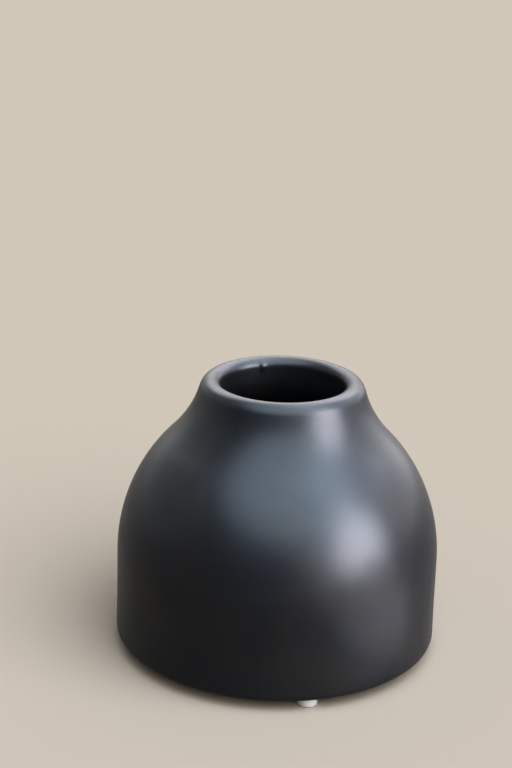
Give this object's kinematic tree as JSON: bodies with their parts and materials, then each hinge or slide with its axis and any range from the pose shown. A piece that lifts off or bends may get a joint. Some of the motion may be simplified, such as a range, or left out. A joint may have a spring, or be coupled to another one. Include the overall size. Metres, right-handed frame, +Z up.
{
  "type": "small-mouthed ceramic jar",
  "caption": "Round-shouldered satin black ceramic jar with a straight lower wall, a hollow-curved neck and a small round mouth, standing on clear stick-on feet.",
  "frame": {"origin": "on the jar's axis, at the surface that its feet stand on", "axes": "+Z up along the jar's axis, out of its mouth; -Y is the front, which the first foot is 13.5 degrees from, towards +X"},
  "size_m": [0.1, 0.1, 0.0863],
  "materials": {
    "satin_black_glaze": "satin",
    "clear_foot": "satin",
    "foot_adhesive": "matte"
  },
  "bodies": {
    "root": {"jar_body": "satin_black_glaze", "front_foot": "clear_foot", "right_foot": "clear_foot", "back_foot": "clear_foot", "left_foot": "clear_foot", "front_foot_adhesive": "foot_adhesive", "right_foot_adhesive": "foot_adhesive", "back_foot_adhesive": "foot_adhesive", "left_foot_adhesive": "foot_adhesive"}
  },
  "joints": []
}
